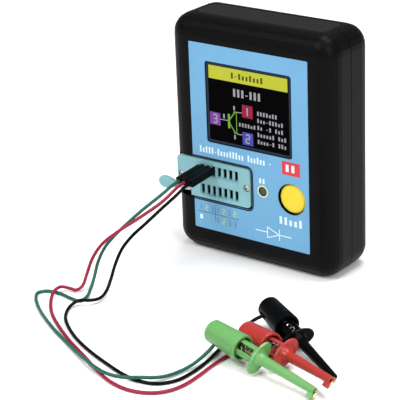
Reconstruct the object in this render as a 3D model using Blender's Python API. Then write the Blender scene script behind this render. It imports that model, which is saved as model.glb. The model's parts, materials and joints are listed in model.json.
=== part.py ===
"""Hand-held component tester with three test leads that end in grabber clips.

Metres, +Z up. The tester stands on its bottom at z = 0, with its face towards -Y.
The three leads plug into the test socket on its face, and lie on the surface it stands on.
"""
import math

import bmesh
import bpy
from mathutils import Matrix, Vector

# ---------------------------------------------------------------- driving dimensions
CASE_WIDTH = 0.070
CASE_DEPTH = 0.027
CASE_HEIGHT = 0.090
EDGE_RADIUS = 0.007
CORNER_RADIUS = 0.0075
WALL = 0.002
SEAM_FRONT_Y = -0.00075
SEAM_REAR_Y = -0.00045
GAP = 0.0003
CORNER_STEPS = 7
EDGE_STEPS = 6

FACE_Y = -CASE_DEPTH / 2
BACK_Y = CASE_DEPTH / 2
INNER_FACE_Y = FACE_Y + WALL
INNER_BACK_Y = BACK_Y - WALL
MIDDLE_Z = CASE_HEIGHT / 2
THROUGH = 0.004

LABEL_X = (-0.0252, 0.0255)
LABEL_Z = (0.0098, 0.0811)
LABEL_RADIUS = 0.0004
LABEL_RECESS_Y = FACE_Y + 0.0005
LABEL_Y = (FACE_Y - 0.00005, FACE_Y + 0.0002)

DISPLAY_X = (-0.0184, 0.0187)
DISPLAY_Z = (0.0442, 0.0748)
DISPLAY_RADIUS = 0.0010
WINDOW_Y = (FACE_Y + 0.0003, FACE_Y + 0.0013)
MODULE_LOW = (-0.0225, -0.0112, 0.0424)
MODULE_HIGH = (0.0235, -0.0084, 0.0764)

BOARD_X = 0.031
BOARD_Y = (-0.0043, -0.0027)
BOARD_Z = (0.0135, 0.0780)
BOARD_TOP_Y = BOARD_Y[0] - GAP
BOARD_HOLES = ((-0.028, 0.0170), (0.028, 0.0170), (-0.028, 0.0745), (0.028, 0.0745))
BOARD_POST_RADIUS = 0.0020
BOARD_PILOT_RADIUS = 0.0009
BOARD_HOLE_RADIUS = 0.0010

CASE_HOLES = ((-0.0285, 0.0075), (0.0285, 0.0075), (-0.0285, 0.0825), (0.0285, 0.0825))
FRONT_BOSS_RADIUS = 0.0028
REAR_BOSS_RADIUS = 0.0030
CASE_PILOT_RADIUS = 0.00125
CASE_BORE_RADIUS = 0.0013
HEAD_RECESS_RADIUS = 0.0026
HEAD_RECESS_Y = 0.0103

PANEL_HALF_X = 0.0278
PANEL_HALF_Y = 0.0062
PANEL_RADIUS = 0.0030

BUTTON_X = 0.01815
BUTTON_Z = 0.0292
BUTTON_RADIUS = 0.0056
BUTTON_HOLE_RADIUS = 0.0059
BUTTON_FACE_Y = FACE_Y + 0.0006
IR_X = 0.0057
IR_Z = 0.0297
IR_HOLE_RADIUS = 0.0018
IR_WINDOW_RADIUS = 0.0015

SOCKET_X = (-0.0324, 0.0003)
SOCKET_Z = (0.0220, 0.0369)
SOCKET_RADIUS = 0.0015
SOCKET_OPENING_X = (-0.0328, 0.0011)
SOCKET_OPENING_Z = (0.0213, 0.0376)
SOCKET_OPENING_RADIUS = 0.0021
SOCKET_OPENING_END_Y = -0.0085
SOCKET_BASE_X = (-0.0318, 0.0006)
SOCKET_BASE_Z = (0.0225, 0.0364)
SOCKET_TOP_Y = -0.0138
SOCKET_SPLIT_Y = (-0.0112, -0.0109)
SLOT_PITCH = 0.00254
SLOT_COUNT = 7
SLOT_GROUP = 3
FIRST_SLOT_X = -0.0211
SLOT_ROWS_Z = (0.0255, 0.0331)
SLOT_SIZE = (0.0015, 0.0036)
SOCKET_SCREWS_X = (-0.0307, -0.0013)
SOCKET_SCREW_Z = 0.0295
COVER_TRAVEL = 0.0007
PIN_BEHIND_SLOT = 0.00035

LEVER_PIVOT = (-0.0282, -0.01105, 0.0229)
LEVER_RADIUS = 0.00075
LEVER_NOTCH = (-0.0264, 0.0243)

USB_Z = (0.0542, 0.0618)

PLUG_COUNT = 3
PLUG_WIDTH = 0.00244
PLUG_HEIGHT = 0.0026
PLUG_LENGTH = 0.0131
PLUG_TILT = math.radians(4)
PLUG_FACE_Y = -0.0142
PLUG_Z = 0.03365
PIN_WIDTH = 0.00064

WIRE_RADIUS = 0.0006
WIRE_SPACING = 0.0032
LEAD_COLOURS = ("green", "red", "black")

CLIP_CAP_LENGTH = 0.0150
CLIP_LENGTH = 0.0480
CLIP_REAR_RADIUS = 0.0039
CLIP_RIM_RADIUS = 0.00455
CLIP_STEM_RADIUS = 0.0030
CLIP_STEM_START = 0.0126
CLIP_FLANGE = (0.0220, 0.0230)
CLIP_FLANGE_HALF = (0.0060, 0.0034)
CLIP_NOZZLE_END = 0.0472
CLIP_WIRE_AT = 0.0045
# rear end, hooked end and roll of each clip, as it lies
CLIP_PLACES = {
    "green": ((0.0296, -0.0778, 0.0080), (0.0764, -0.0867, 0.0026), math.radians(-43)),
    "red": ((0.0353, -0.0667, 0.0042), (0.0803, -0.0833, 0.0060), math.radians(-38)),
    "black": ((0.0332, -0.0510, 0.0068), (0.0752, -0.0741, 0.0013), math.radians(-8)),
}

# each wire's route between its plug and its clip, in millimetres
WIRE_ROUTES = {
    "green": (
        (-22.2, -37.4, 30.3), (-25.6, -44.8, 26.0), (-30.3, -51.6, 19.8), (-34.8, -54.2, 13.8),
        (-36.9, -56.1, 8.2), (-35.5, -60.2, 4.2), (-33.7, -64.4, 2.0), (-31.7, -69.2, 0.9),
        (-32.0, -72.6, 0.65), (-36.2, -72.6, 0.65), (-42.5, -71.6, 0.65), (-47.5, -72.6, 0.65),
        (-49.2, -75.2, 0.65), (-46.8, -79.0, 0.65), (-38.5, -86.0, 0.65), (-25.5, -94.0, 0.65),
        (-14.7, -99.6, 0.65), (-2.3, -105.9, 1.3), (6.5, -110.0, 2.05), (12.3, -111.4, 2.0),
        (18.2, -110.9, 2.0), (23.8, -108.0, 2.15), (28.4, -102.4, 1.2), (30.7, -95.0, 1.0),
        (31.7, -89.4, 1.6), (32.4, -84.9, 2.9),
    ),
    "red": (
        (-20.2, -38.9, 28.9), (-24.3, -46.5, 24.8), (-29.3, -53.1, 20.6), (-34.0, -56.6, 16.0),
        (-37.1, -58.8, 10.5), (-38.0, -61.4, 5.0), (-37.5, -64.6, 1.9), (-38.5, -66.7, 0.9),
        (-41.0, -67.3, 1.2), (-43.6, -69.0, 1.9), (-43.2, -73.2, 1.95), (-40.2, -78.4, 1.1),
        (-33.7, -85.3, 0.65), (-24.5, -92.0, 0.65), (-14.0, -98.4, 0.65), (-2.0, -104.6, 0.65),
        (8.8, -110.4, 0.65), (17.8, -113.8, 0.65), (25.4, -114.2, 0.65), (31.6, -111.9, 0.65),
        (35.3, -107.6, 0.65), (36.9, -102.0, 0.65), (37.0, -95.1, 0.65), (36.4, -86.4, 0.65),
        (36.4, -79.8, 0.65), (37.4, -74.6, 0.85),
    ),
    "black": (
        (-16.2, -36.2, 31.0), (-19.0, -41.0, 27.2), (-22.8, -44.8, 22.5), (-26.6, -48.4, 18.0),
        (-29.3, -51.2, 13.5), (-30.2, -54.4, 8.5), (-29.2, -58.4, 4.5), (-27.4, -63.4, 2.0),
        (-26.2, -68.6, 1.5), (-27.4, -72.4, 1.95), (-30.6, -74.6, 1.95), (-31.5, -78.0, 1.0),
        (-28.2, -84.4, 0.65), (-21.4, -90.6, 0.65), (-12.6, -96.2, 0.65), (-2.2, -101.0, 0.65),
        (7.8, -104.6, 0.65), (15.6, -107.0, 0.65), (22.2, -107.9, 0.65), (28.8, -106.4, 0.65),
        (32.9, -101.2, 0.65), (33.9, -93.6, 0.65), (33.3, -85.1, 0.65), (31.9, -77.5, 0.8),
        (31.2, -70.8, 1.2), (31.6, -65.0, 2.4), (33.0, -60.3, 4.4),
    ),
}


# ---------------------------------------------------------------- tools
def clear_scene():
    for item in list(bpy.data.objects):
        bpy.data.objects.remove(item, do_unlink=True)


def material(name, colour, roughness, metallic=0.0):
    made = bpy.data.materials.new(name)
    made.use_nodes = True
    shader = made.node_tree.nodes["Principled BSDF"]
    shader.inputs["Base Color"].default_value = (*colour, 1.0)
    shader.inputs["Roughness"].default_value = roughness
    shader.inputs["Metallic"].default_value = metallic
    return made


def to_object(name, shape, finish, frame=None, smooth_angle=40):
    """Turn a bmesh into an object whose faces point out; frame places it."""
    bmesh.ops.recalc_face_normals(shape, faces=shape.faces)
    mesh = bpy.data.meshes.new(name)
    shape.to_mesh(mesh)
    shape.free()
    mesh.shade_smooth()
    mesh.set_sharp_from_angle(angle=math.radians(smooth_angle))
    if finish is not None:
        mesh.materials.append(finish)
    item = bpy.data.objects.new(name, mesh)
    bpy.context.collection.objects.link(item)
    if frame is not None:
        item.matrix_world = frame
    return item


def guide(name, shape, frame=None):
    """A cutting or joining shape, which is not a piece of the object."""
    item = to_object(name, shape, None, frame)
    item.hide_render = True
    item.display_type = "WIRE"
    return item


def combine(target, tool, operation="DIFFERENCE"):
    change = target.modifiers.new(tool.name, "BOOLEAN")
    change.operation = operation
    change.solver = "EXACT"
    change.object = tool


def axis_frame(origin, along, side):
    """A frame whose +X runs along an axis and whose +Y is the side direction."""
    x = Vector(along).normalized()
    y = Vector(side)
    y = (y - x * y.dot(x)).normalized()
    z = x.cross(y)
    frame = Matrix((x, y, z)).transposed().to_4x4()
    frame.translation = origin
    return frame


def y_frame(x, y, z):
    """An axis along +Y, for round pieces that face the front or the back."""
    return axis_frame((x, y, z), (0, 1, 0), (1, 0, 0))


def add_loft(shape, rings, closed=False):
    """Join rings of equal length by quads, and cap the two ends unless they meet."""
    rows = [[shape.verts.new(point) for point in ring] for ring in rings]
    pairs = list(zip(rows, rows[1:]))
    if closed:
        pairs.append((rows[-1], rows[0]))
    count = len(rows[0])
    for row, following in pairs:
        for k in range(count):
            n = (k + 1) % count
            shape.faces.new((row[k], row[n], following[n], following[k]))
    if not closed:
        shape.faces.new(rows[0])
        shape.faces.new(rows[-1])


def loft(rings, closed=False):
    shape = bmesh.new()
    add_loft(shape, rings, closed)
    return shape


def outline(half_x, half_z, radius, y, centre=(0.0, MIDDLE_Z), steps=CORNER_STEPS):
    """A rounded rectangle in a plane of constant y."""
    points = []
    signs = ((1, 1), (-1, 1), (-1, -1), (1, -1))
    for quarter, (sign_x, sign_z) in enumerate(signs):
        for step in range(steps + 1):
            angle = (quarter + step / steps) * math.pi / 2
            x = centre[0] + sign_x * (half_x - radius) + radius * math.cos(angle)
            z = centre[1] + sign_z * (half_z - radius) + radius * math.sin(angle)
            points.append((x, y, z))
    return points


def add_plate(shape, x, z, y, radius, steps=2):
    """A rounded rectangular plate or cutter between two values of x, z and y."""
    centre = (sum(x) / 2, sum(z) / 2)
    half = ((x[1] - x[0]) / 2, (z[1] - z[0]) / 2)
    rings = [outline(half[0], half[1], radius, level, centre, steps) for level in y]
    add_loft(shape, rings)


def add_box(shape, low, high):
    corners = bmesh.ops.create_cube(shape, size=1.0)["verts"]
    for corner in corners:
        for axis in range(3):
            corner.co[axis] = high[axis] if corner.co[axis] > 0 else low[axis]
    return corners


def box_piece(name, low, high, finish, bevel=0.0, segments=1):
    shape = bmesh.new()
    add_box(shape, low, high)
    if bevel:
        bmesh.ops.bevel(
            shape, geom=shape.edges[:], offset=bevel, segments=segments, affect="EDGES", profile=0.5
        )
    return to_object(name, shape, finish)


def add_turned(shape, profile, sides, hollow=False):
    """Turn (along, radius) points about local X; hollow joins the last point to the first."""
    rows = []
    for along, radius in profile:
        if radius == 0:
            rows.append([shape.verts.new((along, 0, 0))])
            continue
        ring = []
        for k in range(sides):
            angle = 2 * math.pi * k / sides
            ring.append(shape.verts.new((along, radius * math.cos(angle), radius * math.sin(angle))))
        rows.append(ring)
    pairs = list(zip(rows, rows[1:]))
    if hollow:
        pairs.append((rows[-1], rows[0]))
    for row, following in pairs:
        for k in range(sides):
            n = (k + 1) % sides
            corners = (row[k % len(row)], row[n % len(row)])
            corners += (following[n % len(following)], following[k % len(following)])
            shape.faces.new(dict.fromkeys(corners))


def turned(profile, sides, hollow=False):
    shape = bmesh.new()
    add_turned(shape, profile, sides, hollow)
    return shape


def add_cylinder_y(shape, x, z, radius, y, sides=16):
    """A solid cylinder along Y."""
    rings = []
    for level in y:
        ring = []
        for k in range(sides):
            angle = 2 * math.pi * k / sides
            ring.append((x + radius * math.cos(angle), level, z + radius * math.sin(angle)))
        rings.append(ring)
    add_loft(shape, rings)


def swept(points, radii, sides):
    """A solid round bar through points, with its own radius at each point."""
    points = [Vector(point) for point in points]
    last = len(points) - 1
    side = None
    rings = []
    for k, point in enumerate(points):
        along = (points[min(k + 1, last)] - points[max(k - 1, 0)]).normalized()
        if side is None:
            side = along.orthogonal()
        side = (side - along * side.dot(along)).normalized()
        other = along.cross(side)
        ring = []
        for n in range(sides):
            angle = 2 * math.pi * n / sides
            offset = side * math.cos(angle) + other * math.sin(angle)
            ring.append(point + offset * radii[k])
        rings.append(ring)
    return loft(rings)


# ---------------------------------------------------------------- case
def shell_rings(offset, seam_y, end_y):
    """Rings of the rounded case from its flat face or back to the seam, offset inwards."""
    radius = EDGE_RADIUS - offset
    towards = 1 if seam_y > end_y else -1
    rings = []
    for step in range(EDGE_STEPS + 1):
        angle = math.pi / 2 * step / EDGE_STEPS
        inset = offset + radius * (1 - math.sin(angle))
        y = end_y + towards * radius * (1 - math.cos(angle))
        corner = max(CORNER_RADIUS - inset, 0.0005)
        rings.append(outline(CASE_WIDTH / 2 - inset, CASE_HEIGHT / 2 - inset, corner, y))
    corner = CORNER_RADIUS - offset
    half = (CASE_WIDTH / 2 - offset, CASE_HEIGHT / 2 - offset)
    rings.append(outline(half[0], half[1], corner, seam_y))
    return rings


def shell_body(end_y, inner_y, seam_y):
    outside = shell_rings(0.0, seam_y, end_y)
    inside = shell_rings(WALL, seam_y, inner_y)
    return loft(outside + inside[::-1])


def posts(name, places):
    shape = bmesh.new()
    for x, z, radius, y in places:
        add_cylinder_y(shape, x, z, radius, y)
    return guide(name, shape)


def panel_ring(margin, z):
    """The end panel's rounded outline at a height, grown by a margin."""
    half = (PANEL_HALF_X + margin, PANEL_HALF_Y + margin)
    flat = outline(half[0], half[1], PANEL_RADIUS + margin, z, (0, 0), 4)
    return [(x, y, level) for x, level, y in flat]


def panel_cutter(name):
    """The opening for the end panel, half of which each shell has."""
    levels = (CASE_HEIGHT - WALL - THROUGH / 2, CASE_HEIGHT + THROUGH)
    return guide(name, loft([panel_ring(GAP, z) for z in levels]))


def make_front_shell(plastic):
    shell = to_object("front_shell", shell_body(FACE_Y, INNER_FACE_Y, SEAM_FRONT_Y), plastic)
    root_y = INNER_FACE_Y - WALL / 2
    places = [(x, z, FRONT_BOSS_RADIUS, (root_y, SEAM_FRONT_Y)) for x, z in CASE_HOLES]
    places += [(x, z, BOARD_POST_RADIUS, (root_y, BOARD_TOP_Y)) for x, z in BOARD_HOLES]
    combine(shell, posts("front_posts", places), "UNION")

    shallow = bmesh.new()
    margin = GAP / 2
    label_x = (LABEL_X[0] - margin, LABEL_X[1] + margin)
    label_z = (LABEL_Z[0] - margin, LABEL_Z[1] + margin)
    add_plate(shallow, label_x, label_z, (FACE_Y - THROUGH, LABEL_RECESS_Y), LABEL_RADIUS, 3)
    lever_low = (-CASE_WIDTH / 2 - THROUGH, FACE_Y - THROUGH, 0.0218)
    lever_high = (SOCKET_OPENING_X[0] + 0.001, -0.0100, 0.0258)
    add_box(shallow, lever_low, lever_high)
    usb_low = (-CASE_WIDTH / 2 - THROUGH, -0.0079, USB_Z[0] - 0.0005)
    usb_high = (-CASE_WIDTH / 2 + WALL + 0.0006, -0.0041, USB_Z[1] + 0.0005)
    add_box(shallow, usb_low, usb_high)
    combine(shell, guide("front_recesses", shallow))

    through = bmesh.new()
    depth = (FACE_Y - THROUGH, INNER_FACE_Y + THROUGH / 2)
    add_plate(through, DISPLAY_X, DISPLAY_Z, depth, DISPLAY_RADIUS)
    socket_depth = (FACE_Y - THROUGH, SOCKET_OPENING_END_Y)
    add_plate(through, SOCKET_OPENING_X, SOCKET_OPENING_Z, socket_depth, SOCKET_OPENING_RADIUS, 5)
    add_cylinder_y(through, BUTTON_X, BUTTON_Z, BUTTON_HOLE_RADIUS, depth, 32)
    add_cylinder_y(through, IR_X, IR_Z, IR_HOLE_RADIUS, depth, 20)
    for x, z in CASE_HOLES:
        add_cylinder_y(through, x, z, CASE_PILOT_RADIUS, (-0.0105, SEAM_FRONT_Y + THROUGH / 4), 12)
    for x, z in BOARD_HOLES:
        add_cylinder_y(through, x, z, BOARD_PILOT_RADIUS, (-0.0100, BOARD_TOP_Y + THROUGH / 4), 12)
    combine(shell, guide("front_openings", through))
    relief = bmesh.new()
    relief_low = (-CASE_WIDTH / 2 - THROUGH, FACE_Y - THROUGH, SOCKET_OPENING_Z[0])
    add_box(relief, relief_low, (SOCKET_OPENING_X[0] + 0.0003, SOCKET_SPLIT_Y[1], SOCKET_OPENING_Z[1]))
    combine(shell, guide("cover_relief", relief))
    combine(shell, panel_cutter("front_panel_opening"))


def make_rear_shell(plastic):
    shell = to_object("rear_shell", shell_body(BACK_Y, INNER_BACK_Y, SEAM_REAR_Y), plastic)
    root_y = INNER_BACK_Y + WALL / 2
    places = [(x, z, REAR_BOSS_RADIUS, (SEAM_REAR_Y, root_y)) for x, z in CASE_HOLES]
    combine(shell, posts("rear_posts", places), "UNION")

    recesses = bmesh.new()
    for x, z in CASE_HOLES:
        add_cylinder_y(recesses, x, z, HEAD_RECESS_RADIUS, (HEAD_RECESS_Y, BACK_Y + THROUGH))
    combine(shell, guide("screw_recesses", recesses))
    bores = bmesh.new()
    for x, z in CASE_HOLES:
        span = (SEAM_REAR_Y - THROUGH / 4, HEAD_RECESS_Y + THROUGH / 4)
        add_cylinder_y(bores, x, z, CASE_BORE_RADIUS, span, 12)
    combine(shell, guide("screw_bores", bores))
    combine(shell, panel_cutter("rear_panel_opening"))


def make_top_panel(plastic):
    """The end panel: a flush plate, and a wider lip inside the case that holds it."""
    levels = (
        (CASE_HEIGHT - WALL - 0.0016, 0.0010),
        (CASE_HEIGHT - WALL - GAP, 0.0010),
        (CASE_HEIGHT - WALL - GAP, 0.0),
        (CASE_HEIGHT - 0.0001, 0.0),
    )
    to_object("top_panel", loft([panel_ring(lip, z) for z, lip in levels]), plastic)


def make_label(film):
    shape = bmesh.new()
    add_plate(shape, LABEL_X, LABEL_Z, LABEL_Y, LABEL_RADIUS, 3)
    label = to_object("front_label", shape, film)
    holes = bmesh.new()
    depth = (LABEL_Y[0] - THROUGH, LABEL_Y[1] + THROUGH)
    add_plate(holes, DISPLAY_X, DISPLAY_Z, depth, DISPLAY_RADIUS)
    add_plate(holes, SOCKET_OPENING_X, SOCKET_OPENING_Z, depth, SOCKET_OPENING_RADIUS, 5)
    add_cylinder_y(holes, BUTTON_X, BUTTON_Z, BUTTON_HOLE_RADIUS, depth, 32)
    add_cylinder_y(holes, IR_X, IR_Z, IR_HOLE_RADIUS, depth, 20)
    combine(label, guide("label_holes", holes))


def make_case_screws(steel):
    profile = (
        (-0.0019, 0.0), (-0.0019, 0.0016), (-0.0012, 0.0021), (0.0, 0.0021),
        (0.0, 0.00095), (0.0190, 0.00095), (0.0198, 0.0004), (0.0198, 0.0),
    )
    names = ("lower_left", "lower_right", "upper_left", "upper_right")
    for name, (x, z) in zip(names, CASE_HOLES):
        frame = axis_frame((x, HEAD_RECESS_Y + GAP, z), (0, -1, 0), (1, 0, 0))
        to_object("case_screw_" + name, turned(profile, 12), steel, frame)


# ---------------------------------------------------------------- electronics
def make_display(glass, module_finish):
    shape = bmesh.new()
    x = (DISPLAY_X[0] + GAP, DISPLAY_X[1] - GAP)
    z = (DISPLAY_Z[0] + GAP, DISPLAY_Z[1] - GAP)
    add_plate(shape, x, z, WINDOW_Y, DISPLAY_RADIUS - GAP)
    to_object("display_window", shape, glass)
    box_piece("display_module", MODULE_LOW, MODULE_HIGH, module_finish, 0.0003)


def make_board(laminate, steel):
    shape = bmesh.new()
    add_plate(shape, (-BOARD_X, BOARD_X), BOARD_Z, BOARD_Y, 0.0015)
    board = to_object("main_board", shape, laminate)
    holes = bmesh.new()
    for x, z in BOARD_HOLES:
        add_cylinder_y(holes, x, z, BOARD_HOLE_RADIUS, (BOARD_Y[0] - THROUGH, BOARD_Y[1] + THROUGH), 12)
    combine(board, guide("board_holes", holes))

    profile = (
        (-0.0010, 0.0), (-0.0010, 0.0012), (-0.0005, 0.0016), (0.0, 0.0016),
        (0.0, 0.0006), (0.0064, 0.0006), (0.0064, 0.0),
    )
    names = ("lower_left", "lower_right", "upper_left", "upper_right")
    for name, (x, z) in zip(names, BOARD_HOLES):
        frame = axis_frame((x, BOARD_Y[1] + GAP, z), (0, -1, 0), (1, 0, 0))
        to_object("board_screw_" + name, turned(profile, 10), steel, frame)


def make_board_parts(epoxy, ferrite, can, steel):
    """Parts soldered to the board's front side."""
    top = BOARD_TOP_Y
    box_piece("processor_chip", (0.0030, top - 0.0014, 0.0148), (0.0120, top, 0.0238), epoxy, 0.0002)
    box_piece("charger_chip", (-0.0100, top - 0.0015, 0.0155), (-0.0050, top, 0.0195), epoxy, 0.0002)
    box_piece("quartz_crystal", (0.0148, top - 0.0012, 0.0150), (0.0180, top, 0.0200), can, 0.0003)
    box_piece("boost_inductor", (0.0198, top - 0.0030, 0.0148), (0.0253, top, 0.0203), ferrite, 0.0008)
    profile = (
        (0.0, 0.0), (0.0, 0.0026), (0.0003, 0.0029), (0.0046, 0.0029),
        (0.0048, 0.0026), (0.0051, 0.0029), (0.0054, 0.0029), (0.0054, 0.0),
    )
    capacitor = axis_frame((-0.0200, top - 0.0054, 0.0178), (0, 1, 0), (1, 0, 0))
    to_object("filter_capacitor", turned(profile, 16), can, capacitor)

    low = (-0.0346, top - 0.0028, USB_Z[0])
    socket = box_piece("usb_socket", low, (-0.0292, top, USB_Z[1]), steel, 0.0004)
    mouth = bmesh.new()
    inset = 0.0005
    mouth_low = (-0.0346 - THROUGH, top - 0.0028 + inset, USB_Z[0] + inset)
    add_box(mouth, mouth_low, (-0.0302, top - inset, USB_Z[1] - inset))
    combine(socket, guide("usb_mouth", mouth))


def make_battery(pouch, nylon, insulation):
    box_piece("battery", (-0.0170, 0.0060, 0.0220), (0.0170, 0.0112, 0.0620), pouch, 0.0012, 2)
    low = (0.0040, BOARD_Y[1] + GAP, 0.0650)
    box_piece("battery_socket", low, (0.0120, 0.0020, 0.0712), nylon, 0.0003)
    route = (
        (10.0, 8.6, 62.4), (10.0, 8.7, 66.5), (9.8, 8.4, 71.0), (9.3, 7.0, 75.0),
        (8.6, 4.6, 77.0), (8.1, 2.0, 76.6), (8.0, 0.4, 74.6), (8.0, 0.0, 71.6),
    )
    cord_piece("battery_lead", [Vector(point) / 1000 for point in route], 0.0008, insulation)


def make_start_button(rubber, epoxy, plunger_finish):
    profile = (
        (0.0, 0.0), (0.0, 0.0043), (0.0001, 0.0049), (0.0004, 0.0054), (0.0009, BUTTON_RADIUS),
        (0.0017, BUTTON_RADIUS), (0.0017, 0.0070), (0.0025, 0.0070), (0.0025, 0.0024),
        (0.0027, 0.0024), (0.0027, 0.0),
    )
    to_object("start_button", turned(profile, 32), rubber, y_frame(BUTTON_X, BUTTON_FACE_Y, BUTTON_Z))

    half = 0.0030
    low = (BUTTON_X - half, -0.0082, BUTTON_Z - half)
    body = box_piece("switch_body", low, (BUTTON_X + half, BOARD_TOP_Y, BUTTON_Z + half), epoxy, 0.0002)
    bore = bmesh.new()
    add_cylinder_y(bore, BUTTON_X, BUTTON_Z, 0.00195, (-0.0082 - THROUGH, -0.0054))
    combine(body, guide("switch_bore", bore))
    plunger = ((0.0, 0.0), (0.0, 0.0014), (0.0002, 0.00165), (0.0038, 0.00165), (0.0038, 0.0))
    to_object("switch_plunger", turned(plunger, 16), plunger_finish, y_frame(BUTTON_X, -0.0099, BUTTON_Z))


def make_ir_receiver(filter_finish, epoxy):
    radius = IR_WINDOW_RADIUS
    window = ((0.0, 0.0), (0.0, radius - 0.0002), (0.0001, radius), (0.0014, radius), (0.0014, 0.0))
    to_object("ir_window", turned(window, 20), filter_finish, y_frame(IR_X, FACE_Y + 0.0002, IR_Z))
    dome = (
        (-0.0016, 0.0), (-0.0014, 0.0007), (-0.0009, 0.0013), (-0.0002, 0.0016),
        (0.0002, 0.0016), (0.0002, 0.0024), (0.0050, 0.0024), (0.0050, 0.0),
    )
    to_object("ir_receiver", turned(dome, 16), epoxy, y_frame(IR_X, BOARD_TOP_Y - 0.0050, IR_Z))


# ---------------------------------------------------------------- test socket
def slot_centres():
    """The centre of each contact slot, as (x, z)."""
    for row_z in SLOT_ROWS_Z:
        for k in range(SLOT_COUNT):
            yield FIRST_SLOT_X + k * SLOT_PITCH, row_z


def make_socket_cover(plastic):
    shape = bmesh.new()
    add_plate(shape, SOCKET_X, SOCKET_Z, (SOCKET_TOP_Y, SOCKET_SPLIT_Y[0]), SOCKET_RADIUS, 5)
    cover = to_object("socket_cover", shape, plastic)

    plate = bmesh.new()
    first = FIRST_SLOT_X - 0.0006
    last = FIRST_SLOT_X + (SLOT_COUNT - 1) * SLOT_PITCH + 0.0009
    depths = (SOCKET_TOP_Y - 0.0002, SOCKET_TOP_Y + 0.001)
    add_plate(plate, (first, last), (0.0280, 0.0306), depths, 0.0003, 1)
    combine(cover, guide("cover_plate", plate), "UNION")

    troughs = bmesh.new()
    half = (SLOT_SIZE[0] / 2 + 0.0002, SLOT_SIZE[1] / 2 + 0.0003)
    for row_z in SLOT_ROWS_Z:
        for start, end in ((0, SLOT_GROUP - 1), (SLOT_GROUP, SLOT_COUNT - 1)):
            low = (FIRST_SLOT_X + start * SLOT_PITCH - half[0], SOCKET_TOP_Y - 0.001, row_z - half[1])
            high = (FIRST_SLOT_X + end * SLOT_PITCH + half[0], SOCKET_TOP_Y + 0.0004, row_z + half[1])
            add_box(troughs, low, high)
    notch_low = (SOCKET_X[0] - THROUGH, SOCKET_TOP_Y - THROUGH, SOCKET_Z[0] - THROUGH)
    add_box(troughs, notch_low, (LEVER_NOTCH[0], SOCKET_SPLIT_Y[0] + THROUGH, LEVER_NOTCH[1]))
    for x in SOCKET_SCREWS_X:
        add_cylinder_y(troughs, x, SOCKET_SCREW_Z, 0.00135, (SOCKET_TOP_Y - 0.001, SOCKET_TOP_Y + 0.0007))
    combine(cover, guide("cover_troughs", troughs))

    slots = bmesh.new()
    depth = (SOCKET_TOP_Y - THROUGH, SOCKET_SPLIT_Y[0] + THROUGH)
    for x, z in slot_centres():
        low = (x - SLOT_SIZE[0] / 2, depth[0], z - SLOT_SIZE[1] / 2)
        add_box(slots, low, (x + SLOT_SIZE[0] / 2, depth[1], z + SLOT_SIZE[1] / 2))
    for x in SOCKET_SCREWS_X:
        add_cylinder_y(slots, x, SOCKET_SCREW_Z, 0.00095, depth, 12)
    trench_low = (LEVER_PIVOT[0] - 0.0009, SOCKET_SPLIT_Y[0] - 0.0011, LEVER_NOTCH[1] - 0.0002)
    add_box(slots, trench_low, (LEVER_NOTCH[0], depth[1], 0.0353))
    combine(cover, guide("cover_slots", slots))


def make_socket_base(plastic):
    low = (SOCKET_BASE_X[0], SOCKET_SPLIT_Y[1], SOCKET_BASE_Z[0])
    high = (SOCKET_BASE_X[1], BOARD_TOP_Y, SOCKET_BASE_Z[1])
    base = box_piece("socket_base", low, high, plastic, 0.0003)
    wells = bmesh.new()
    for x, z in slot_centres():
        well_low = (x - 0.0008, SOCKET_SPLIT_Y[1] - THROUGH, z - 0.0016)
        add_box(wells, well_low, (x + 0.0008, -0.0066, z + 0.0016))
    trench_low = (SOCKET_BASE_X[0] - THROUGH, SOCKET_SPLIT_Y[1] - THROUGH, 0.0200)
    add_box(wells, trench_low, (LEVER_PIVOT[0] + 0.0013, -0.0098, 0.0353))
    combine(base, guide("base_wells", wells))
    tracks = bmesh.new()
    for x in SOCKET_SCREWS_X:
        track_low = (x - 0.0009 - COVER_TRAVEL, SOCKET_SPLIT_Y[1] - THROUGH, SOCKET_SCREW_Z - 0.0009)
        add_box(tracks, track_low, (x + 0.0009, -0.0070, SOCKET_SCREW_Z + 0.0009))
    combine(base, guide("base_tracks", tracks))


def make_socket_screws(steel):
    profile = (
        (-0.0005, 0.0), (-0.0004, 0.0007), (0.0, 0.0011), (0.0001, 0.0011),
        (0.0001, 0.0007), (0.0055, 0.0007), (0.0055, 0.0),
    )
    for name, x in zip(("left", "right"), SOCKET_SCREWS_X):
        frame = y_frame(x, SOCKET_TOP_Y + 0.0003, SOCKET_SCREW_Z)
        to_object("socket_screw_" + name, turned(profile, 16), steel, frame)


def make_lever(steel, plastic):
    """A steel rod cranked across the socket; its arm ends in a flattened knob."""
    pivot = Vector(LEVER_PIVOT)
    route = (
        (0.0, 0.0, 11.8), (0.0, 0.0, 8.0), (0.0, 0.0, 4.0), (0.0, 0.0, 1.2), (-0.12, 0.0, 0.52),
        (-0.52, 0.0, 0.12), (-1.2, 0.0, 0.0), (-2.9, -0.1, 0.0), (-4.5, -0.45, 0.15),
        (-5.2, -0.75, 0.75), (-5.5, -0.83, 0.98), (-5.85, -0.85, 1.05),
    )
    points = [Vector(point) / 1000 for point in route]
    rod = swept(points, [LEVER_RADIUS] * len(points), 16)
    to_object("socket_lever", rod, steel, Matrix.Translation(pivot))

    stations = (
        (-6.4, 1.15, 1.15), (-7.3, 1.35, 1.5), (-8.9, 1.55, 2.0), (-10.9, 1.75, 2.4),
        (-12.3, 1.7, 2.4), (-13.4, 1.4, 2.0), (-14.2, 0.9, 1.3), (-14.6, 0.35, 0.5),
    )
    rings = []
    for x, half_y, half_z in stations:
        ring = []
        for k in range(16):
            angle = 2 * math.pi * k / 16
            y = -0.85 + half_y * math.cos(angle)
            z = 1.05 + half_z * math.sin(angle)
            ring.append(Vector((x, y, z)) / 1000)
        rings.append(ring)
    to_object("lever_knob", loft(rings), plastic, Matrix.Translation(pivot))


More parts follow.
